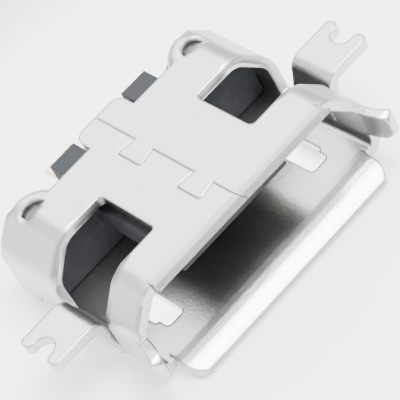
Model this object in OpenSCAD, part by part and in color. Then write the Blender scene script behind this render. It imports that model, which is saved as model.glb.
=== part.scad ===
// Small five-contact socket with a folded metal shell, sunk into the edge of a board.
// Millimetres, Z up, mouth towards -Y.
// The board's upper face is z = 0 and the origin is midway between the tabs.

/* [Mouth] */
// inside width of the mouth
mouth_width = 6.9; // [6.7:0.05:7.1]
// inside height of the mouth
mouth_height = 1.85; // [1.75:0.05:2]

/* [Sheet] */
// thickness of the folded sheet
sheet = 0.25; // [0.2:0.01:0.3]
// outside radius of the long folds
fold_radius = 0.4; // [0.36:0.01:0.5]
// how far each sloping shoulder reaches across
shoulder_width = 0.8; // [0.6:0.05:0.95]
// how far each sloping shoulder reaches down
shoulder_height = 0.9; // [0.7:0.05:1]

/* [Shell] */
// how far the shell hangs below the board's upper face
sink_depth = 1.28; // [1.15:0.01:1.35]
// from the tab middle forward to where the mouth starts to flare
front_length = 1.65; // [1.55:0.05:1.9]
// how far the folds carry on past the start of the flare
fold_reach = 0.17; // [0.1:0.01:0.25]
// from the tab middle back to the rearmost face of the rear flaps
rear_length = 3.45; // [3.35:0.01:3.55]
// from the tab middle back to the rear edge of the top and bottom plates
plate_rear = 2.46; // [2.42:0.01:2.5]
// outside radius of the upright folds at the rear corners
rear_fold = 0.4; // [0.34:0.01:0.46]
// distance of the upright axis of each rear rim from the middle of the shell
rim_side = 2.75; // [2.7:0.01:2.8]
// distance of that axis behind the tab middle
rim_back = 2.27; // [2.24:0.01:2.3]
// outside radius of the rims, measured where their slope meets the level of the top face
rim_radius = 0.75; // [0.7:0.01:0.8]
// inside radius of the rims
rim_inner = 0.43; // [0.4:0.01:0.46]
// radius that rounds the upper edge of the rims
rim_round = 0.35; // [0.32:0.01:0.4]
// angle by which the rear corners widen downwards from the rims
rim_lean = 29; // [24:1:33]
// angle by which the rear flaps curl on past their rearmost face
curl_angle = 50; // [40:1:52]
// front edge of the slits in front of the rims, behind the tab middle
slit_front = 2.33; // [2.3:0.01:2.38]
// distance of the outer end of each slit from the middle of the shell
slit_end = 2.94; // [2.88:0.01:2.98]
// how far the lower edges of the rear flaps lie above the bottom face
flap_lift = 0.06; // [0.03:0.01:0.2]
// gap between each rear flap and the block
flap_gap = 0.06; // [0.03:0.01:0.12]
// width of the tongue at the rear edge of the top plate
rear_tongue_width = 1.46; // [1.2:0.02:1.5]
// length of that tongue
rear_tongue_length = 0.59; // [0.44:0.01:0.64]
// corner radius of that tongue
rear_tongue_corner = 0.3; // [0.15:0.01:0.35]

/* [Windows] */
// width of the plate left between the two windows
bridge_width = 3.14; // [2.6:0.02:3.5]
// length of each window along the shell
window_length = 1.9; // [1.75:0.05:2]
// how far the middle of each window lies behind the tab middle
window_shift = 0.21; // [0.15:0.01:0.24]
// how far each window cuts down the side wall below the board's upper face
window_depth = 0.83; // [0.75:0.01:0.86]
// radius of the inner corners of each window
window_corner = 0.14; // [0.08:0.01:0.2]

/* [Seam] */
// width of the seam along the top plate
seam_gap = 0.025; // [0.02:0.005:0.05]
// how far each dovetail reaches across the seam
dovetail_length = 0.5; // [0.4:0.02:0.6]
// width of a dovetail at the seam
dovetail_neck = 0.6; // [0.5:0.02:0.66]
// width of a dovetail at its end
dovetail_end = 0.78; // [0.7:0.02:0.9]
// corner radius of a dovetail
dovetail_corner = 0.08; // [0.05:0.01:0.12]
// middle of the rear dovetail, behind the tab middle
dovetail_rear = 1.31; // [1.1:0.01:1.5]
// middle of the front dovetail, in front of the tab middle
dovetail_front = 0.74; // [0.5:0.01:0.9]

/* [Flared mouth] */
// gap on each side of a lip or an ear, where the sheet is cut to let it flare
relief = 0.03; // [0.02:0.01:0.1]
// radius on the hollow side of the bottom lip
lip_radius = 1.23; // [1:0.01:1.5]
// angle that the bottom lip turns through
lip_angle = 38; // [25:1:45]
// how far the sides of the bottom lip stand in from the walls
lip_inset = 0.53; // [0.42:0.01:0.7]
// corner radius of the bottom lip
lip_corner = 0.46; // [0.2:0.01:0.6]
// radius on the hollow side of the top lip
brow_radius = 0.8; // [0.6:0.01:1.2]
// angle that the top lip turns through
brow_angle = 41; // [20:1:45]
// corner radius of the top lip
brow_corner = 0.3; // [0.15:0.01:0.4]
// radius on the hollow side of the ears
ear_radius = 1.45; // [1.1:0.01:1.8]
// angle that the ears turn through
ear_angle = 31; // [20:1:40]
// height of the ears
ear_height = 0.74; // [0.7:0.01:0.78]
// corner radius of the ears
ear_corner = 0.34; // [0.15:0.01:0.35]

/* [Latch holes] */
// width between the inner edges of the two latch holes
latch_spacing = 4.3; // [4.1:0.02:4.5]
// width of each latch hole at its rear part
latch_width = 0.62; // [0.5:0.02:0.7]
// how much narrower the front part of each latch hole is
latch_step = 0.1; // [0.05:0.01:0.15]
// front end of the latch holes, in front of the tab middle
latch_front = 1.08; // [0.95:0.01:1.2]
// length of the narrow front part
latch_nose = 0.3; // [0.25:0.01:0.4]
// whole length of each latch hole
latch_length = 1.3; // [1:0.05:1.5]
// corner radius of the latch holes
latch_corner = 0.12; // [0.08:0.01:0.14]

/* [Tabs] */
// distance between the outer tips of the two tabs
tab_span = 10.3; // [10:0.05:10.8]
// width of each tab
tab_width = 1.27; // [1.1:0.01:1.35]
// angle by which the root of each tab leans out from the wall
tab_lean = 22; // [15:1:30]
// radius of the lean, at the middle of the sheet
lean_radius = 0.4; // [0.3:0.01:0.5]
// radius of the tab's own bend, at the middle of the sheet
tab_bend = 0.25; // [0.2:0.01:0.32]
// width of the notch between the prongs
notch_width = 0.6; // [0.45:0.01:0.65]
// depth of the notch between the prongs
notch_depth = 0.48; // [0.4:0.01:0.6]
// tip radius of the prongs
prong_round = 0.14; // [0.08:0.01:0.15]

/* [Insulator] */
// clearance between the insulator and the shell
clearance = 0.02; // [0.01:0.005:0.04]
// front face of the block, behind the tab middle
block_front = 1.82; // [1.6:0.02:2]
// gap between the top plate and the tongue
tongue_gap = 0.4; // [0.35:0.01:0.45]
// thickness of the tongue
tongue_thickness = 0.62; // [0.5:0.01:0.65]
// width of the tongue
tongue_width = 3.3; // [3.1:0.02:3.4]
// front end of the tongue, in front of the tab middle
tongue_reach = 1.2; // [1.05:0.01:1.4]
// chamfer on the front edges of the tongue
tongue_chamfer = 0.12; // [0.05:0.01:0.16]
// distance between the middles of the two rear posts
post_spacing = 2.38; // [2.34:0.01:2.44]
// width of each rear post
post_width = 0.78; // [0.7:0.01:0.8]
// how far the block and its posts reach behind the plates
post_length = 0.57; // [0.44:0.01:0.64]
// how far the tops of the posts lie below the top face
post_drop = 0.05; // [0.02:0.01:0.1]

/* [Contacts] */
// distance between neighbouring contacts
pitch = 0.65; // [0.6:0.01:0.67]
// width of each contact
contact_width = 0.25; // [0.2:0.01:0.3]
// thickness of each contact
contact_thickness = 0.15; // [0.1:0.01:0.18]
// how far each contact stands proud of the tongue
contact_proud = 0.07; // [0.04:0.01:0.1]
// how far each contact stays behind the front end of the tongue
contact_setback = 0.35; // [0.3:0.01:0.6]
// how far the tails reach behind the block
tail_length = 0.98; // [0.7:0.02:1.2]
// length of the sloping step inside the block
step_length = 0.5; // [0.4:0.02:0.6]

/* [Hidden] */
$fn = 64;
// length by which a cutter runs past what it cuts
over = 1;
// margin that keeps an outline's straight edge clear of a curved end
margin = 0.03;
// excess of a corner arc's radius, so that it crosses the flats instead of only touching them
ease = 0.001;
// flat steps in each bend of a tab
bend_steps = 8;
half_width = mouth_width / 2 + sheet;
height = mouth_height + 2 * sheet;
bottom = -sink_depth;
top = height - sink_depth;
slope = norm([shoulder_width, shoulder_height]);
slope_out = shoulder_height / slope;
slope_up = shoulder_width / slope;
// the section's corners, set in by the fold radius
side_in = half_width - fold_radius;
floor_in = bottom + fold_radius;
roof_in = top - fold_radius;
low_in = top - shoulder_height - fold_radius * (1 - slope_out) / slope_up;
high_in = half_width - shoulder_width - fold_radius * (1 - slope_up) / slope_out;
core = [
    [-side_in, floor_in], [side_in, floor_in], [side_in, low_in],
    [high_in, roof_in], [-high_in, roof_in], [-side_in, low_in]
];
inner_radius = fold_radius - sheet;
flap_face = rear_length - sheet;
rim_depth = rear_length - rim_back;
flap_end = rim_side - rim_depth * sin(curl_angle);
// angle that the upper edge of each rim sweeps on, until it ends inside the top plate
rim_sweep = 90 - asin((plate_rear - rim_back) / rim_radius) / 2;
brow_half = high_in;
lip_half = half_width - lip_inset;
lip_end = front_length + (lip_radius + sheet) * sin(lip_angle);
brow_end = front_length + (brow_radius + sheet) * sin(brow_angle);
ear_end = front_length + (ear_radius + sheet) * sin(ear_angle);
ear_top = low_in;
ear_bottom = ear_top - ear_height;
window_rear = window_shift + window_length / 2;
window_front = window_shift - window_length / 2;
tab_tip = tab_span / 2;
wall_middle = half_width - sheet / 2;
block_rear = plate_rear + post_length;
tongue_top = top - sheet - tongue_gap;
tongue_bottom = tongue_top - tongue_thickness;
beam_low = tongue_bottom - contact_proud;
contact_rear = block_rear + tail_length;
contact_front = contact_setback - tongue_reach;

function outward(points, i) =
    let (n = len(points), d = points[(i + 1) % n] - points[i % n]) [d[1], -d[0]] / norm(d);
function mitre(points, i) =
    let (a = outward(points, i + len(points) - 1), b = outward(points, i)) (a + b) / (1 + a * b);
function grown(points, distance) = [for (i = [0 : len(points) - 1]) points[i] + distance * mitre(points, i)];
function box_points(left, right, low, high) = [[left, low], [right, low], [right, high], [left, high]];
function arc(middle, r, from, to) =
    [for (i = [0 : bend_steps]) let (a = from + (to - from) * i / bend_steps) middle + r * [cos(a), sin(a)]];

// what is taken off one corner of an outline to round it by a true arc of radius r
module corner_waste(points, i, r) {
    reach = 3 * r;
    a = outward(points, i + len(points) - 1);
    b = outward(points, i);
    translate(points[i] - r * mitre(points, i))
        difference() {
            polygon([[0, 0], reach * a, reach * (a + b), reach * b]);
            circle(r + ease);
        }
}

// outline with the given corners, all rounded by the radius r
module rounded(points, r) {
    difference() {
        polygon(points);
        for (i = [0 : len(points) - 1])
            corner_waste(points, i, r);
    }
}

module rounded_box(left, right, low, high, r) {
    rounded(box_points(left, right, low, high), r);
}

module ring_sector(r, from, to) {
    reach = 2 * (r + sheet);
    middle = (from + to) / 2;
    intersection() {
        difference() {
            circle(r + sheet);
            circle(r);
        }
        polygon([
            [0, 0],
            reach * [cos(from), sin(from)],
            reach * 1.2 * [cos(middle), sin(middle)],
            reach * [cos(to), sin(to)]
        ]);
    }
}

// section of the folded tube, with its flats at the distance r from the core
module section(r) {
    rounded(grown(core, r), r);
}

// open tube along Y, from y = back to y = -front
module tube(r, back, front) {
    rotate([90, 0, 0])
        translate([0, 0, -back])
            linear_extrude(front + back) section(r);
}

// side view of a rear rim about its upright axis, set in by inset: a cone under a rounded upper edge
module rim_profile(inset) {
    low = bottom - over;
    high = top - inset + ease;
    side = rim_radius - inset / cos(rim_lean);
    points = [
        [0, low], [side + (top - low) * tan(rim_lean), low],
        [side + (top - high) * tan(rim_lean), high], [0, high]
    ];
    difference() {
        polygon(points);
        corner_waste(points, 2, max(rim_round - inset, margin));
    }
}

// what is taken off both rear corners of the tube under their rims, set in by inset
module rim_waste(inset) {
    side = half_width - rim_side + over;
    for (s = [0, 1])
        mirror([s, 0, 0])
            translate([rim_side, rim_back, 0])
                difference() {
                    translate([0, 0, bottom - over]) cube([side, rim_depth + over, height + 2 * over]);
                    rotate_extrude() rim_profile(inset);
                }
}

// plan of what is taken off the upright folds at the rear corners, set in by inset
module fold_waste(inset) {
    w = half_width - inset;
    points = box_points(-w, w, -front_length, rear_length - inset);
    for (i = [2, 3])
        corner_waste(points, i, rear_fold - inset);
}

// the tube as far back as back, with the rear corners of the shell, set in by inset
module hood(r, back, front, inset) {
    difference() {
        tube(r, back, front);
        rim_waste(inset);
        translate([0, 0, bottom - over]) linear_extrude(height + 2 * over) fold_waste(inset);
    }
}

// end view of a rear flap, set in by inset
module flap_profile(inset) {
    intersection() {
        rim_profile(inset);
        translate([0, bottom + flap_lift - inset]) square([rim_depth - inset, height + over]);
    }
}

// rear flap: the wall goes straight down behind the bottom plate and curls on past its rear face
module flap() {
    low = bottom + flap_lift;
    start = plate_rear + relief;
    rim_start = rim_inner - margin;
    translate([0, 0, low])
        linear_extrude(floor_in + sheet - low)
            difference() {
                translate([rim_side, start]) square([half_width - rim_side, rear_length - start]);
                fold_waste(0);
                difference() {
                    translate([rim_side - over, start - over])
                        square([half_width - sheet - rim_side + over, rear_length - sheet - start + over]);
                    fold_waste(sheet);
                }
            }
    translate([rim_side, rim_back, 0])
        rotate([0, 0, 90]) {
            rotate_extrude(angle = curl_angle)
                difference() {
                    flap_profile(0);
                    flap_profile(sheet);
                    translate([-over, bottom - over]) square([rim_start + over, height + 2 * over]);
                }
            rotate_extrude(angle = rim_sweep)
                intersection() {
                    rim_profile(0);
                    translate([rim_start, top - sheet + margin]) square([rim_depth, over]);
                }
        }
}

// strip of sheet that curls away from its outer face
module curl(r, angle) {
    translate([0, r]) ring_sector(r, -90, angle - 90);
}

module brow() {
    intersection() {
        translate([0, -front_length, top])
            rotate([90, 0, -90])
                linear_extrude(2 * brow_half, center = true) curl(brow_radius, brow_angle);
        translate([0, 0, roof_in])
            linear_extrude(over + fold_radius)
                rounded_box(-brow_half - margin, brow_half + margin, -brow_end - margin, over, brow_corner);
    }
}

module lip() {
    intersection() {
        translate([0, -front_length, bottom])
            mirror([0, 0, 1])
                rotate([90, 0, -90])
                    linear_extrude(2 * lip_half + over, center = true) curl(lip_radius, lip_angle);
        translate([0, 0, bottom - over])
            linear_extrude(over + fold_radius)
                rounded_box(-lip_half, lip_half, -lip_end - margin, over, lip_corner);
    }
}

module ear() {
    intersection() {
        translate([half_width, -front_length, ear_bottom - over])
            rotate([0, 0, -90])
                linear_extrude(ear_height + 2 * over) curl(ear_radius, ear_angle);
        translate([side_in, 0, 0])
            rotate([90, 0, 90])
                linear_extrude(fold_radius + over)
                    rounded_box(-ear_end - margin, over, ear_bottom, ear_top, ear_corner);
    }
}

// side view of a tab: a leaning root, a bend and the flat
module tab_profile() {
    lean_middle = [wall_middle + lean_radius, -window_depth];
    lean_end = lean_middle + lean_radius * [-cos(tab_lean), sin(tab_lean)];
    bend_height = sheet / 2 - tab_bend;
    rise = (bend_height + tab_bend * sin(tab_lean) - lean_end[1]) / cos(tab_lean);
    bend_middle = [lean_end[0] + rise * sin(tab_lean) + tab_bend * cos(tab_lean), bend_height];
    half = sheet / 2;
    polygon(concat(
        [[half_width - sheet, -window_depth - sheet]],
        arc(lean_middle, lean_radius + half, 180, 180 - tab_lean),
        arc(bend_middle, tab_bend + half, 180 - tab_lean, 90),
        [[tab_tip + over, sheet], [tab_tip + over, 0]],
        arc(bend_middle, tab_bend - half, 90, 180 - tab_lean),
        arc(lean_middle, lean_radius - half, 180 - tab_lean, 180),
        [[half_width, -window_depth - sheet]]
    ));
}

// top view of a tab: a strip with two rounded prongs
module tab_outline() {
    half = tab_width / 2;
    notch_half = notch_width / 2;
    notch_middle = tab_tip - notch_depth + notch_half;
    tip_round = min(prong_round, (half - notch_half) / 2.1);
    difference() {
        union() {
            translate([side_in, -half]) square([notch_middle - side_in, tab_width]);
            for (s = [0, 1])
                mirror([0, s])
                    rounded_box(notch_middle - notch_half, tab_tip, notch_half, half, tip_round);
        }
        translate([notch_middle, 0]) circle(notch_half);
    }
}

module tab() {
    intersection() {
        rotate([90, 0, 0]) linear_extrude(tab_width + over, center = true) tab_profile();
        translate([0, 0, bottom]) linear_extrude(height) tab_outline();
    }
}

module rear_tongue() {
    half = rear_tongue_width / 2;
    translate([0, 0, top - sheet])
        linear_extrude(sheet)
            rounded_box(
                -half, half,
                plate_rear - rear_tongue_length, plate_rear + rear_tongue_length,
                rear_tongue_corner
            );
}

module dovetail(grow) {
    spread = (dovetail_end - dovetail_neck) / 2;
    neck = dovetail_neck / 2 - spread;
    end = dovetail_end / 2;
    points = [
        [-dovetail_length, -end], [dovetail_length, -neck],
        [dovetail_length, neck], [-dovetail_length, end]
    ];
    rounded(grown(points, grow), dovetail_corner + grow);
}

module dovetails(grow) {
    for (y = [dovetail_rear, -dovetail_front])
        translate([0, y]) dovetail(grow);
}

module seam() {
    span = rear_length + front_length + 2 * over;
    translate([0, 0, roof_in])
        linear_extrude(fold_radius + over)
            difference() {
                union() {
                    translate([-seam_gap, -front_length - over]) square([2 * seam_gap, span]);
                    dovetails(seam_gap);
                }
                translate([0, -front_length - 2 * over]) square([dovetail_length + over, span + 2 * over]);
                dovetails(0);
            }
}

module windows() {
    for (s = [0, 1])
        mirror([s, 0, 0])
            translate([0, 0, -window_depth])
                linear_extrude(top + window_depth + over)
                    rounded_box(
                        bridge_width / 2, half_width + over,
                        window_front, window_rear,
                        window_corner
                    );
}

module latch_holes() {
    left = latch_spacing / 2;
    right = left + latch_width;
    nose = -latch_front + latch_nose;
    nose_rear = nose + 2 * latch_corner + latch_step;
    for (s = [0, 1])
        mirror([s, 0, 0])
            translate([0, 0, bottom - over])
                linear_extrude(over + fold_radius) {
                    rounded_box(left, right, nose, latch_length - latch_front, latch_corner);
                    rounded_box(left, right - latch_step, -latch_front, nose_rear, latch_corner);
                }
}

// the way out between the rear corners
module rear_openings() {
    deep = rear_length - plate_rear + over;
    translate([-rim_side, plate_rear, bottom - over]) cube([2 * rim_side, deep, height + 2 * over]);
    translate([-half_width - over, plate_rear, bottom - over])
        cube([2 * (half_width + over), deep, over + fold_radius]);
}

// slits between the rear edge of the top plate and the rims of the rear corners
module slits() {
    for (s = [0, 1])
        mirror([s, 0, 0])
            translate([0, 0, top - fold_radius])
                linear_extrude(fold_radius + over)
                    intersection() {
                        translate([rim_side, rim_back]) circle(rim_inner);
                        translate([0, slit_front]) square([slit_end, rear_length]);
                    }
}

// room at the front of the tube for the lips and the ears
module front_openings() {
    deep = fold_reach + over;
    translate([-brow_half - relief, -front_length - deep, roof_in])
        cube([2 * (brow_half + relief), deep, fold_radius + over]);
    translate([-lip_half - relief, -front_length - deep, bottom - over])
        cube([2 * (lip_half + relief), deep, fold_radius + over]);
    translate([-half_width - over, -front_length - deep, ear_bottom - relief])
        cube([2 * (half_width + over), deep, ear_height + 2 * relief]);
}

module shell() {
    color("silver")
        difference() {
            union() {
                difference() {
                    hood(fold_radius, rear_length, front_length + fold_reach, 0);
                    hood(inner_radius, flap_face, front_length + fold_reach + over, sheet);
                    windows();
                    rear_openings();
                    front_openings();
                }
                brow();
                lip();
                rear_tongue();
                for (s = [0, 1])
                    mirror([s, 0, 0]) {
                        ear();
                        tab();
                        flap();
                    }
            }
            seam();
            latch_holes();
            slits();
        }
}

// side view of a contact: beam under the tongue, step inside the block, flat tail on the board
module contact_profile() {
    t = contact_thickness;
    step_front = (block_front + block_rear) / 2 - step_length / 2;
    step_rear = step_front + step_length;
    lean = atan2(-beam_low, step_length);
    shift = t * tan(lean / 2);
    polygon([
        [contact_front, beam_low], [step_front, beam_low], [step_rear, 0], [contact_rear, 0],
        [contact_rear, t], [step_rear - shift, t],
        [step_front - shift, beam_low + t], [contact_front, beam_low + t]
    ]);
}

module contact(i) {
    color("gold")
        translate([(i - 3) * pitch, 0, 0])
            rotate([90, 0, 90])
                linear_extrude(contact_width, center = true) contact_profile();
}

module contact_1() { contact(1); }
module contact_2() { contact(2); }
module contact_3() { contact(3); }
module contact_4() { contact(4); }
module contact_5() { contact(5); }

module tongue() {
    c = tongue_chamfer;
    low = tongue_bottom;
    high = tongue_top;
    rotate([90, 0, 90])
        linear_extrude(tongue_width, center = true)
            polygon([
                [block_front + over / 2, low], [c - tongue_reach, low], [-tongue_reach, low + c],
                [-tongue_reach, high - c], [c - tongue_reach, high], [block_front + over / 2, high]
            ]);
}

module posts() {
    base = tongue_bottom;
    for (x = [-post_spacing / 2, post_spacing / 2])
        translate([x - post_width / 2, plate_rear + clearance, base])
            cube([post_width, post_length - clearance, top - post_drop - base]);
}

// block behind the windows, with the part that fills the way out between the flaps
module block() {
    side = flap_end - flap_gap;
    difference() {
        tube(inner_radius - clearance, plate_rear, -block_front);
        rim_waste(sheet + clearance);
    }
    translate([-side, plate_rear - clearance, floor_in])
        cube([2 * side, post_length + clearance, tongue_top - floor_in]);
}

module insulator() {
    color("dimgray")
        difference() {
            union() {
                block();
                tongue();
                posts();
            }
            for (i = [1 : 5])
                contact(i);
        }
}

shell();
insulator();
contact_1();
contact_2();
contact_3();
contact_4();
contact_5();
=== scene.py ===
import math

import bmesh
import bpy
from mathutils import Matrix, Vector


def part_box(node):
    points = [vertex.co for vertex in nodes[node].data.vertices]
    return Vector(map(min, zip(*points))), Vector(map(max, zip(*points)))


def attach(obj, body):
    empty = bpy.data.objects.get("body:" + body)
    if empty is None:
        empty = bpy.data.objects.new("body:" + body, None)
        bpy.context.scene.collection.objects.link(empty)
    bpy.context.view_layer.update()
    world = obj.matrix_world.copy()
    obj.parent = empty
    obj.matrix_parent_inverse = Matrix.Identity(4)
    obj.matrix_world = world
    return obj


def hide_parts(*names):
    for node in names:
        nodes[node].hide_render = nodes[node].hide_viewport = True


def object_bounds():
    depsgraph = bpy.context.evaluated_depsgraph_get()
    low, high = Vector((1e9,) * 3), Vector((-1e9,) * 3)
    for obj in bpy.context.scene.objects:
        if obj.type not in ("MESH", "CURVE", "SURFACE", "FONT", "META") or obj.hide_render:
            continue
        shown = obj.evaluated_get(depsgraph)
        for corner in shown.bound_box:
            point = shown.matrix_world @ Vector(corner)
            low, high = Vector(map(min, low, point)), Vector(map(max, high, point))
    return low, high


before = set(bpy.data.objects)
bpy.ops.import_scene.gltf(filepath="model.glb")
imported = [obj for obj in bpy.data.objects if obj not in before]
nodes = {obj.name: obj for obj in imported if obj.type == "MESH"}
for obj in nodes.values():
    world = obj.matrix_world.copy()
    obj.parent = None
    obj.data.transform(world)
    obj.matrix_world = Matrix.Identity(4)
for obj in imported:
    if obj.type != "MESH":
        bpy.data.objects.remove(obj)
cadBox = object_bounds()
mm = 0.001
print("frame loaded:", len(nodes), "pieces")


# a socket that takes part in sums: each sum adds its own Math node
class Wire:
    def __init__(self, net, socket):
        self.net = net
        self.socket = socket

    def combine(self, operation, first, second):
        return self.net.node("ShaderNodeMath", {"operation": operation}, {0: first, 1: second})

    def __add__(self, other):
        return self.combine("ADD", self, other)

    def __radd__(self, other):
        return self.combine("ADD", other, self)

    def __sub__(self, other):
        return self.combine("SUBTRACT", self, other)

    def __rsub__(self, other):
        return self.combine("SUBTRACT", other, self)

    def __mul__(self, other):
        return self.combine("MULTIPLY", self, other)

    def __rmul__(self, other):
        return self.combine("MULTIPLY", other, self)

    def clamped(self):
        return self.net.node("ShaderNodeClamp", {}, {"Value": self})


# a node tree of any kind
class Net:
    def __init__(self, tree):
        self.tree = tree
        tree.nodes.clear()

    def put(self, socket, value):
        if isinstance(value, Wire):
            self.tree.links.new(value.socket, socket)
        else:
            socket.default_value = value

    def make(self, kind, settings, inputs):
        made = self.tree.nodes.new(kind)
        for name, value in settings.items():
            setattr(made, name, value)
        for name, value in inputs.items():
            self.put(made.inputs[name], value)
        return made

    def node(self, kind, settings, inputs, output=0):
        return Wire(self, self.make(kind, settings, inputs).outputs[output])

    def point(self, x, y, z):
        return self.node("ShaderNodeCombineXYZ", {}, {"X": x, "Y": y, "Z": z})

    def part(self, vector, axis):
        return self.node("ShaderNodeSeparateXYZ", {}, {0: vector}, axis)

    def band(self, value, low, high):  # 0 below low, 1 above high
        return self.node("ShaderNodeMapRange", {"interpolation_type": "SMOOTHSTEP"}, {
            "Value": value, "From Min": low, "From Max": high, "To Min": 0.0, "To Max": 1.0})

    def tint(self, amount, first, second):
        ends = [c if isinstance(c, Wire) else (*c, 1) for c in (first, second)]
        return self.node("ShaderNodeMix", {"data_type": "RGBA"}, {0: amount, 6: ends[0], 7: ends[1]}, 2)


# one material with the nodes that make it
class Finish(Net):
    def __init__(self, name):
        self.material = bpy.data.materials.new(name)
        self.material.use_nodes = True
        super().__init__(self.material.node_tree)

    def place(self, stretch=(1, 1, 1)):  # the piece's own coordinates in millimetres
        spot = self.node("ShaderNodeTexCoord", {}, {}, "Object")
        return self.node("ShaderNodeMapping", {}, {"Vector": spot, "Scale": [s / mm for s in stretch]})

    def noise(self, scale, detail, stretch=(1, 1, 1)):
        return self.node("ShaderNodeTexNoise", {}, {
            "Vector": self.place(stretch), "Scale": scale, "Detail": detail, "Roughness": 0.55})

    def rolled(self, radius):  # surface normal, softened over the piece's edges
        return self.node("ShaderNodeBevel", {"samples": 8}, {"Radius": radius * mm})

    def edges(self, soft):  # how far the softened normal leaves the true one: 1 on an edge
        true = self.node("ShaderNodeNewGeometry", {}, {}, "True Normal")
        same = self.node("ShaderNodeVectorMath", {"operation": "DOT_PRODUCT"}, {0: soft, 1: true}, "Value")
        return self.band(1 - same, 0.01, 0.2)

    def within(self, low, high, fade):  # 1 inside a box, given in millimetres
        spot = self.place()
        inside = 1.0
        for axis, start, end, soft in zip("XYZ", low, high, fade):
            value = self.part(spot, axis)
            entered = self.band(value, start - soft, start)
            left = self.band(value, end, end + soft)
            inside = inside * entered * (1 - left)
        return inside

    def bump(self, height, depth, strength, soft):
        return self.node("ShaderNodeBump", {}, {
            "Strength": strength, "Distance": depth * mm, "Height": height, "Normal": soft})

    def close(self, inputs):
        surface = self.node("ShaderNodeBsdfPrincipled", {}, inputs)
        self.make("ShaderNodeOutputMaterial", {}, {"Surface": surface})
        return self.material


# boxes, depths and radii are in millimetres, patterns in repeats to the millimetre
platedSheet = {
    "dull": (0.5, 0.499, 0.494),
    "bright": (0.54, 0.539, 0.535),
    # painted highlight: a paler colour along the edges, as a share of the edge mask
    "edge": (0.8, 0.8, 0.8),
    "edgeShare": 0.2,
    # painted shade: the shell's inside, in the box below, is coloured darker
    "inner": (0.45, 0.45, 0.448),
    "innerBox": {"low": (-3.46, -1.5, -1.05), "high": (3.46, 2.6, -0.4), "fade": (0.01, 0.5, 0.01)},
    "lowerCutTone": (0.25, 0.25, 0.248),  # darker colour on the lower half of the top plate's cut edges
    "lowerCutBox": {"low": (-2.5, -1.6, 0.84), "high": (2.5, 2.6, 0.9), "fade": (0.01, 0.01, 0.08)},
    "roughness": 0.31,
    "cloudRough": 0.08,
    "fineRough": 0.04,
    "cloud": 0.9,
    "grain": 30.0,
    "grainStretch": (0.2, 1, 1),  # rolling lines run across
    "speck": 15.0,
    "depth": 0.0058,
    "rollover": 0.085,
    "lipBox": {"low": (-3.2, -2.6, 0.8), "high": (3.2, -1.75, 1.4), "fade": (0.01, 0.1, 0.01)},
    "foldRoll": 0.22,  # more rollover on the two shoulders, which are bent softly
    "foldAcross": (2.6, 3.6),
    "foldAlong": (-1.7, 3.4),
    "foldUp": (0.15, 1.3),
    "foldFade": (0.3, 0.1, 0.15),
}


def makePlatedSheet(s):
    f = Finish("platedSheet")
    cloud = f.noise(s["cloud"], 2.0)
    grain = f.noise(s["grain"], 2.0, s["grainStretch"])
    speck = f.noise(s["speck"], 1.0)
    fold = 0.0
    for side in (-1, 1):
        ends = sorted(side * x for x in s["foldAcross"])
        low, high = zip(ends, s["foldAlong"], s["foldUp"])
        fold = fold + f.within(low, high, s["foldFade"])
    plain = 1 - f.within(**s["lipBox"])  # the top lip is already thin at its edge
    soft = f.rolled(plain * s["rollover"] + fold * s["foldRoll"])
    colour = f.tint(f.band(cloud * 0.7 + speck * 0.3, 0.3, 0.7), s["dull"], s["bright"])
    # a painted highlight along the edges
    colour = f.tint(f.edges(soft) * s["edgeShare"], colour, s["edge"])
    # painted shade on the shell's inside
    colour = f.tint(f.within(**s["innerBox"]), colour, s["inner"])
    # darker lower half of the top plate's cut edges
    colour = f.tint(f.within(**s["lowerCutBox"]), colour, s["lowerCutTone"])
    rough = s["roughness"] + (cloud - 0.5) * s["cloudRough"]
    rough = rough + (grain - 0.5) * s["fineRough"] + (speck - 0.5) * s["fineRough"]
    bump = f.bump(speck * 0.7 + grain * 0.3, s["depth"], 1.0, soft)
    return f.close({"Base Color": colour, "Metallic": 1.0, "Roughness": rough.clamped(), "Normal": bump})


darkMoulding = {
    "dark": (0.05, 0.053, 0.058),
    "light": (0.06, 0.064, 0.07),
    # the colour of the fibre flecks, also used as a painted highlight along the edges
    "fleckAndEdgeHighlight": (0.085, 0.086, 0.088),
    "fleckShare": 0.35,
    "edgeShare": 0.4,
    "post": (0.028, 0.03, 0.033),  # painted shade: the two posts behind the top plate are coloured darker than the rest of the moulding
    "postShare": 0.85,
    "postBox": {"low": (-2, 2.5, 0.3), "high": (2, 3.3, 1.3), "fade": (0.01, 0.05, 0.3)},
    "roughness": 0.56,
    "pitRough": 0.25,
    "shine": 0.06,
    "cloud": 3.0,
    "pit": 30.0,
    "flow": 21.0,
    "flowStretch": (1, 0.12, 1),  # short fibres that lie along the flow
    "depth": 0.004,
    "rollover": 0.04,
}


def makeDarkMoulding(s):
    f = Finish("darkMoulding")
    cloud = f.noise(s["cloud"], 3.0)
    pit = f.noise(s["pit"], 3.0)
    flow = f.noise(s["flow"], 1.0, s["flowStretch"])
    soft = f.rolled(s["rollover"])
    # fibre flecks, plus a painted highlight along the edges
    flecksAndEdgeHighlight = f.band(flow, 0.62, 0.7) * s["fleckShare"] + f.edges(soft) * s["edgeShare"]
    colour = f.tint(f.band(cloud, 0.3, 0.7), s["dark"], s["light"])
    colour = f.tint(flecksAndEdgeHighlight.clamped(), colour, s["fleckAndEdgeHighlight"])
    # painted shade on the two posts behind the top plate
    colour = f.tint(f.within(**s["postBox"]) * s["postShare"], colour, s["post"])
    rough = s["roughness"] + (pit - 0.5) * s["pitRough"]
    bump = f.bump(pit, s["depth"], 0.5, soft)
    return f.close({"Base Color": colour, "Roughness": rough.clamped(), "Specular IOR Level": s["shine"],
                    "Normal": bump})


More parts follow.
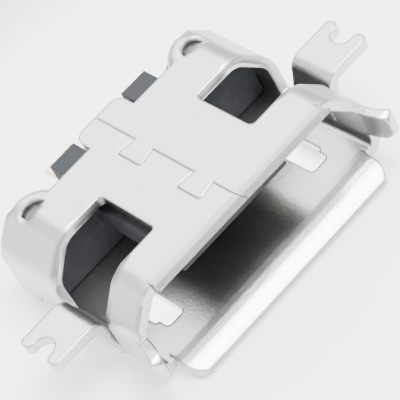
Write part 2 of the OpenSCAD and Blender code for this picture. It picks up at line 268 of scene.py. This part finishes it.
paleGilding = {
    "beam": (0.8, 0.785, 0.7),
    "tail": (0.76, 0.66, 0.38),
    "tailFront": 2.6,
    "tailFade": 0.5,
    # painted highlight: a paler colour along the edges, also used for faint random pale clouds
    "edge": (0.86, 0.83, 0.7),
    "edgeShare": 0.2,
    "roughness": 0.26,
    "grainRough": 0.16,
    "cloud": 4.0,
    "grain": 40.0,
    "grainStretch": (1, 0.08, 1),  # drawn along the strips
    "depth": 0.002,
    "rollover": 0.02,
}


def makePaleGilding(s):
    f = Finish("paleGilding")
    cloud = f.noise(s["cloud"], 2.0)
    grain = f.noise(s["grain"], 2.0, s["grainStretch"])
    soft = f.rolled(s["rollover"])
    along = f.part(f.place(), "Y") + cloud * 0.3
    tail = f.band(along, s["tailFront"], s["tailFront"] + s["tailFade"])
    colour = f.tint(tail, s["beam"], s["tail"])
    # faint random pale clouds, and a painted highlight along the edges
    colour = f.tint((cloud * 0.1 + f.edges(soft) * s["edgeShare"]).clamped(), colour, s["edge"])
    rough = s["roughness"] + (grain - 0.5) * s["grainRough"]
    bump = f.bump(grain, s["depth"], 0.3, soft)
    return f.close({"Base Color": colour, "Metallic": 1.0, "Roughness": rough.clamped(), "Normal": bump})


def dress(node, material):
    mesh = nodes[node].data
    mesh.materials.clear()
    mesh.materials.append(material)


plating = makePlatedSheet(platedSheet)
gilding = makePaleGilding(paleGilding)
dress("insulator", makeDarkMoulding(darkMoulding))
print("finishes on")


# the shell as the frame has it, with the sheet of its top lip pressed thinner towards the edge
# and a slower bend along the four folds of its shoulders; lengths in mm, angles in degrees
foldedShell = {
    "weld": 0.0001,
    "curlSpot": (-1.65, 1.87),  # along Y and Z: the line that the top lip curls round
    "curlStart": 12.0,
    "curlEnd": 41.0,
    "halfWidth": 3.2,
    "outside": 1.06,            # from that line
    "middle": 0.87,
    "thinned": 0.3,
    "folds": [  # corner at the middle of the sheet, tilt of the way out of it, half of the turn
        {"across": 2.844, "up": 0.945, "tilt": 65.8, "half": 24.2},
        {"across": 3.575, "up": 0.1225, "tilt": 20.8, "half": 20.8},
    ],
    "foldMiddle": 0.245,        # radius at the middle of the sheet
    "foldTightest": 0.05,
    "foldReach": 0.36,          # to each side that the slower bend takes outside
    "foldInside": 0.2,          # and inside
    "foldCuts": 7,
    "foldDepth": (0.16, 0.3),   # from the middle of the sheet, where the bend fades out
    "halfSheet": 0.125,
    "nearFold": (2.2, -0.45),   # what lies further out and up is cut into strips
}


def thinLip(s, points):
    spot = Vector((0, *s["curlSpot"])) * mm
    for point in points:
        away = (point.co - spot) / mm
        reach = math.hypot(away.y, away.z)
        turn = math.degrees(math.atan2(-away.y, -away.z))
        if abs(away.x) > s["halfWidth"] or reach > s["outside"] or turn < s["curlStart"]:
            continue
        part = min((turn - s["curlStart"]) / (s["curlEnd"] - s["curlStart"]), 1)
        thinned = s["middle"] + (reach - s["middle"]) * s["thinned"]
        reach += (thinned - reach) * part * part * (3 - 2 * part)
        angle = math.radians(turn)
        point.co.y = spot.y - reach * math.sin(angle) * mm
        point.co.z = spot.z - reach * math.cos(angle) * mm


def nearFold(s, face, side):
    out, up = s["nearFold"]
    reachesOut = max(side * v.co.x for v in face.verts) > out * mm
    return reachesOut and max(v.co.z for v in face.verts) > up * mm


def cutStrips(s, work):  # rows of points along each fold, for the bend to move
    stepLength = s["foldReach"] * mm / s["foldCuts"]
    for side in (-1, 1):
        for fold in s["folds"]:
            tilt = math.radians(fold["tilt"])
            corner = Vector((side * fold["across"], 0, fold["up"])) * mm
            way = Vector((side * math.sin(tilt), 0, -math.cos(tilt)))
            for step in range(-s["foldCuts"], s["foldCuts"] + 1):
                near = [face for face in work.faces if nearFold(s, face, side)]
                edges = dict.fromkeys(edge for face in near for edge in face.edges)
                points = dict.fromkeys(v for face in near for v in face.verts)
                bmesh.ops.bisect_plane(
                    work, geom=[*points, *edges, *near], dist=s["weld"] * mm * 0.1,
                    plane_co=corner + way * (step * stepLength), plane_no=way)


def roundedHeight(along, reach):  # a straight slope that is rounded off as far as reach
    if along > reach:
        return along
    return (along * along / reach + reach) / 2


def bendSlower(s, points):
    start, end = s["foldDepth"]
    for point in points:
        spot = point.co / mm
        side = math.copysign(1, spot.x)
        for fold in s["folds"]:
            tilt = math.radians(fold["tilt"])
            half = math.radians(fold["half"])
            x = abs(spot.x) - fold["across"]
            z = spot.z - fold["up"]
            out = x * math.cos(tilt) + z * math.sin(tilt)
            along = abs(x * math.sin(tilt) - z * math.cos(tilt))
            if along > s["foldReach"] or abs(out) > end:
                continue
            before = max(s["foldMiddle"] + out, s["foldTightest"]) * math.sin(half)
            part = min(max(out / s["halfSheet"], -1), 1) / 2 + 0.5
            after = s["foldInside"] + (s["foldReach"] - s["foldInside"]) * part
            drop = math.tan(half) * (roundedHeight(along, after) - roundedHeight(along, before))
            drop *= min((end - abs(out)) / (end - start), 1)
            point.co.x -= side * drop * math.cos(tilt) * mm
            point.co.z -= drop * math.sin(tilt) * mm


def makeFoldedShell(s, material):
    work = bmesh.new()
    work.from_mesh(nodes["shell"].data)
    bmesh.ops.remove_doubles(work, verts=work.verts, dist=s["weld"] * mm)
    thinLip(s, work.verts)
    cutStrips(s, work)
    bendSlower(s, work.verts)
    mesh = bpy.data.meshes.new("foldedShell")
    work.to_mesh(mesh)
    work.free()
    mesh.shade_flat()
    mesh.materials.append(material)
    shell = bpy.data.objects.new("foldedShell", mesh)
    bpy.context.scene.collection.objects.link(shell)
    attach(shell, "root")
    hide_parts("shell")
    return shell


shell = makeFoldedShell(foldedShell, plating)
print("shell:", len(shell.data.polygons), "faces")


# five equal strips that follow one path: along the tongue, up a soft step, along the board
contactRow = {
    "names": ["contact_1", "contact_2", "contact_3", "contact_4", "contact_5"],
    "thickness": 0.15,      # mm, as are the rest
    "stepFront": 2.2,
    "stepRear": 2.65,
    "edgeRadius": 0.03,
    "pathPoints": 72,
    "edgePoints": 3,
    "sharpFrom": 50.0,      # degrees
}

contactInputs = {
    "Int": ["Count", "Path Points", "Edge Points"],
    "Float": ["Pitch", "Width", "Thickness", "Front", "Rear", "Beam Level", "Tail Level",
              "Step Front", "Step Rear", "Edge Radius"],
    "Material": ["Finish"],
}


def contactTree():
    tree = bpy.data.node_groups.new("contactRow", "GeometryNodeTree")
    for kind, names in contactInputs.items():
        for name in names:
            tree.interface.new_socket(name, in_out="INPUT", socket_type="NodeSocket" + kind)
    tree.interface.new_socket("Row", in_out="OUTPUT", socket_type="NodeSocketGeometry")
    g = Net(tree)
    given = g.make("NodeGroupInput", {}, {})
    size = {socket.name: Wire(g, socket) for socket in given.outputs if socket.name}
    path = g.node("GeometryNodeCurvePrimitiveLine", {}, {
        "Start": g.point(0.0, size["Front"], 0.0), "End": g.point(0.0, size["Rear"], 0.0)})
    path = g.node("GeometryNodeResampleCurve", {"mode": "COUNT"}, {
        "Curve": path, "Count": size["Path Points"]})
    along = g.part(g.node("GeometryNodeInputPosition", {}, {}), "Y")
    rise = g.band(along, size["Step Front"], size["Step Rear"])
    level = size["Beam Level"] + (size["Tail Level"] - size["Beam Level"]) * rise
    path = g.node("GeometryNodeSetPosition", {}, {
        "Geometry": path, "Position": g.point(0.0, along, level)})
    path = g.node("GeometryNodeSetCurveNormal", {"mode": "Z_UP"}, {"Curve": path})
    outline = g.node("GeometryNodeCurvePrimitiveQuadrilateral", {"mode": "RECTANGLE"}, {
        "Width": size["Width"], "Height": size["Thickness"]})
    outline = g.node("GeometryNodeFilletCurve", {"mode": "POLY"}, {
        "Curve": outline, "Count": size["Edge Points"], "Radius": size["Edge Radius"]})
    strip = g.node("GeometryNodeCurveToMesh", {}, {
        "Curve": path, "Profile Curve": outline, "Fill Caps": True})
    first = (1 - size["Count"]) * size["Pitch"] * 0.5
    spots = g.node("GeometryNodeMeshLine", {"mode": "OFFSET"}, {
        "Count": size["Count"], "Start Location": g.point(first, 0.0, 0.0),
        "Offset": g.point(size["Pitch"], 0.0, 0.0)})
    row = g.node("GeometryNodeInstanceOnPoints", {}, {"Points": spots, "Instance": strip})
    row = g.node("GeometryNodeRealizeInstances", {}, {"Geometry": row})
    row = g.node("GeometryNodeSetMaterial", {}, {"Geometry": row, "Material": size["Finish"]})
    g.make("NodeGroupOutput", {}, {"Row": row})
    return tree


def makeContactRow(s, material):
    low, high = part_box(s["names"][0])
    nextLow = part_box(s["names"][1])[0]
    half = s["thickness"] * mm / 2
    values = {
        "Count": len(s["names"]), "Pitch": nextLow[0] - low[0], "Width": high[0] - low[0],
        "Thickness": s["thickness"] * mm, "Front": low[1], "Rear": high[1],
        "Beam Level": low[2] + half, "Tail Level": high[2] - half,
        "Step Front": s["stepFront"] * mm, "Step Rear": s["stepRear"] * mm,
        "Edge Radius": s["edgeRadius"] * mm, "Path Points": s["pathPoints"],
        "Edge Points": s["edgePoints"], "Finish": material}
    row = bpy.data.objects.new("contactRow", bpy.data.meshes.new("contactRow"))
    bpy.context.scene.collection.objects.link(row)
    maker = row.modifiers.new("contactRow", "NODES")
    maker.node_group = contactTree()
    for item in maker.node_group.interface.items_tree:
        if item.in_out == "INPUT":
            maker[item.identifier] = values[item.name]
    made = row.evaluated_get(bpy.context.evaluated_depsgraph_get())
    mesh = bpy.data.meshes.new_from_object(made)
    mesh.set_sharp_from_angle(angle=math.radians(s["sharpFrom"]))
    row.modifiers.clear()
    row.data = mesh
    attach(row, "root")
    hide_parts(*s["names"])
    return row


row = makeContactRow(contactRow, gilding)
print("contact row:", len(row.data.polygons), "faces")


studio = {
    "floorSize": 3.0,           # m
    "paintedPoolTone": (0.85, 0.85, 0.85),
    "beyondPoolTone": (0.5, 0.5, 0.5),
    "near": 9.0,                # mm from the part's middle, where the painted pool of light on the floor starts to fade to greyer
    "far": 12.0,
    "floorRoughness": 0.6,
    "floorGlow": 0.9,           # the table is lit a little from below
    "underGlow": 4.0,           # and more right under the part: a painted glow that lifts the part's own shadow
    "under": (3.0, 2.0),        # mm to each side of that painted glow
    "underFade": 0.5,
    "horizon": (1.0, 1.0, 1.0),
    "zenith": (2.4, 2.4, 2.4),
    "skyFull": 0.7,             # height at which the sky is as bright as overhead
    "front": 0.45,              # how bright the camera's side of the sky is, next to the rest
    "frontFade": (-0.8, 0.0),
    "boxes": [  # soft boxes: where each stands in mm, side in mm, power in milliwatts
        ("topLamp", (39, -40, 140), 90, 700),
        ("rearLamp", (39, 101, 104), 120, 185),
        ("leftLamp", (-107, 101, 30), 100, 60),
    ],
}


def makePaleFloor(s):
    f = Finish("paleFloor")
    spot = f.place()
    # a glowing patch under the part, painted to lift the part's own shadow on the floor
    under = 1.0
    for axis, reach in zip("XY", s["under"]):
        away = f.node("ShaderNodeMath", {"operation": "ABSOLUTE"}, {0: f.part(spot, axis)})
        under = under * (1 - f.band(away, reach - s["underFade"], reach))
    glow = f.tint(under, [s["floorGlow"] / s["underGlow"]] * 3, (1, 1, 1))
    away = f.node("ShaderNodeVectorMath", {"operation": "LENGTH"}, {0: f.place((1, 1, 0))}, "Value")
    # a painted pool of light: paler floor near the part, greyer further out
    paintedPool = f.tint(f.band(away, s["near"], s["far"]), s["paintedPoolTone"], s["beyondPoolTone"])
    return f.close({"Base Color": paintedPool, "Roughness": s["floorRoughness"],
                    "Emission Color": glow, "Emission Strength": s["underGlow"]})


def makeFloor(s, low):
    half = s["floorSize"] / 2
    corners = [(-half, -half, low), (half, -half, low), (half, half, low), (-half, half, low)]
    mesh = bpy.data.meshes.new("floor")
    mesh.from_pydata(corners, [], [(0, 1, 2, 3)])
    mesh.materials.append(makePaleFloor(s))
    floor = bpy.data.objects.new("floor", mesh)
    bpy.context.scene.collection.objects.link(floor)


def makeLamps(s):
    for name, spot, side, power in s["boxes"]:
        box = bpy.data.lights.new(name, "AREA")
        box.size = side * mm
        box.energy = power * 0.001
        holder = bpy.data.objects.new(name, box)
        holder.location = Vector(spot) * mm
        holder.rotation_euler = (-holder.location).to_track_quat("-Z", "Y").to_euler()
        bpy.context.scene.collection.objects.link(holder)


def makeSky(s):
    world = bpy.data.worlds.new("softSky")
    world.use_nodes = True
    w = Net(world.node_tree)
    way = w.node("ShaderNodeTexCoord", {}, {}, "Generated")
    colour = w.tint(w.band(w.part(way, "Z"), 0.0, s["skyFull"]), s["horizon"], s["zenith"])
    strength = s["front"] + (1 - s["front"]) * w.band(w.part(way, "Y"), *s["frontFade"])
    back = w.node("ShaderNodeBackground", {}, {"Color": colour, "Strength": strength})
    w.make("ShaderNodeOutputWorld", {}, {"Surface": back})
    bpy.context.scene.world = world


makeFloor(studio, cadBox[0].z)
makeLamps(studio)
makeSky(studio)
print("studio ready")


photoView = {
    "azimuth": -21.135,
    "elevation": 43.773,
    "roll": 31.5,
    "lens": 213.8,
    "sensor": 36.0,
    "spot": (-13.766, -35.413, 36.254),  # mm
    "sees": (0.001, 100.0),              # m, from and to
}


def makeCamera(s):
    a, e, r = (math.radians(s[k]) for k in ("azimuth", "elevation", "roll"))
    back = Vector((math.sin(a) * math.cos(e), -math.cos(a) * math.cos(e), math.sin(e)))
    right = Vector((math.cos(a), math.sin(a), 0))
    up = back.cross(right)
    across = right * math.cos(r) - up * math.sin(r)
    above = right * math.sin(r) + up * math.cos(r)
    eye = bpy.data.cameras.new("photoCamera")
    eye.lens = s["lens"]
    eye.sensor_width = s["sensor"]
    eye.clip_start, eye.clip_end = s["sees"]
    holder = bpy.data.objects.new("photoCamera", eye)
    turn = Matrix((across, above, back)).transposed().to_4x4()
    holder.matrix_world = Matrix.Translation(Vector(s["spot"]) * mm) @ turn
    bpy.context.scene.collection.objects.link(holder)
    bpy.context.scene.camera = holder


makeCamera(photoView)
